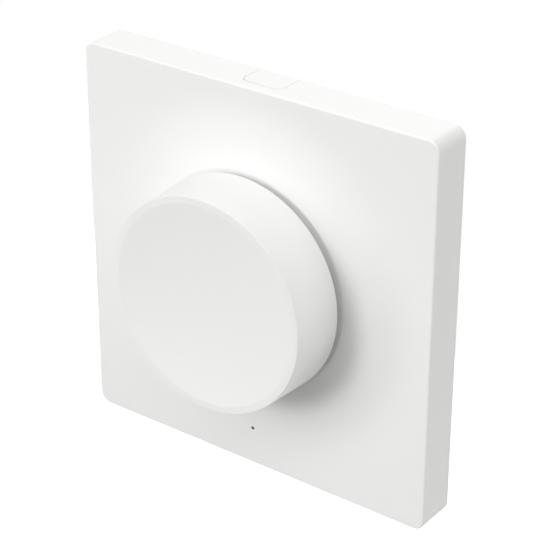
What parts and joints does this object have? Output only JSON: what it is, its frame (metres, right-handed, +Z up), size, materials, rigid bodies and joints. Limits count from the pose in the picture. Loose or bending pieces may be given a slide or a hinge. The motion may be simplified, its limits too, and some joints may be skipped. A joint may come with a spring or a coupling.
{
  "type": "rotary dimmer switch",
  "caption": "Square white wall plate with a large round knob that turns to dim and pushes to switch, a pinhole indicator and a release tab in the top edge; clips to a screwed wall bracket.",
  "frame": {"origin": "middle of the bracket's rear face, on the wall", "axes": "+X to the right as seen from the room, +Y into the wall, +Z up"},
  "size_m": [0.086, 0.0257, 0.086],
  "materials": {
    "cover_white": "fine matte moulded plastic",
    "knob_white": "satin moulded plastic",
    "bracket_white": "matte moulded plastic",
    "dark_plastic": "matte moulded plastic",
    "board_green": "solder mask",
    "board_blue": "solder mask",
    "clear_pipe": "smoked clear plastic",
    "led_body": "moulded ceramic and lens",
    "spring_steel": "bright spring steel",
    "plated_steel": "zinc plated",
    "cell_steel": "polished nickel plate",
    "shaft_metal": "turned",
    "contact_bronze": "plated bronze strip"
  },
  "bodies": {
    "base": {"wall_bracket": "bracket_white", "rear_chassis": "bracket_white", "front_cover": "cover_white", "chassis_screws": "plated_steel", "battery_door": "bracket_white", "coin_cell": "cell_steel", "battery_contact_positive": "contact_bronze", "battery_contact_negative": "contact_bronze", "main_board": "board_green", "board_screws": "plated_steel", "radio_board": "board_blue", "radio_shield": "plated_steel", "controller_chip": "dark_plastic", "crystal": "plated_steel", "storage_capacitor": "dark_plastic", "indicator_led": "led_body", "light_pipe": "clear_pipe", "encoder_housing": "dark_plastic", "encoder_frame": "plated_steel", "encoder_bushing": "shaft_metal", "encoder_washer": "plated_steel", "encoder_nut": "plated_steel", "encoder_terminals": "plated_steel", "push_dome": "spring_steel", "release_spring": "spring_steel"},
    "rotor": {"encoder_rotor": "dark_plastic"},
    "knob": {"knob_shell": "knob_white", "knob_grip_ring": "spring_steel", "encoder_shaft": "shaft_metal"},
    "plunger": {"push_plunger": "dark_plastic"},
    "release": {"release_button": "cover_white"}
  },
  "joints": [
    {"name": "knob_turn", "type": "hinge", "parent": "base", "child": "rotor", "pos_m": [0, -0.0125, 0.0021], "axis": [0, -1, 0], "continuous": true},
    {"name": "knob_press", "type": "slide", "parent": "rotor", "child": "knob", "axis": [0, 1, 0], "range_m": [0, 0.0005], "stiffness_N_per_m": 6000, "springref_m": -0.0001, "deforming": ["push_dome"]},
    {"name": "plunger_press", "type": "slide", "parent": "base", "child": "plunger", "axis": [0, 1, 0], "range_m": [0, 0.0005]},
    {"name": "release_press", "type": "slide", "parent": "base", "child": "release", "axis": [0, 0, -1], "range_m": [0, 0.0015], "stiffness_N_per_m": 400, "springref_m": -0.001, "deforming": ["release_spring"]}
  ],
  "couplings": [
    {"joint": "plunger_press", "follows": "knob_press", "ratio": 1}
  ]
}
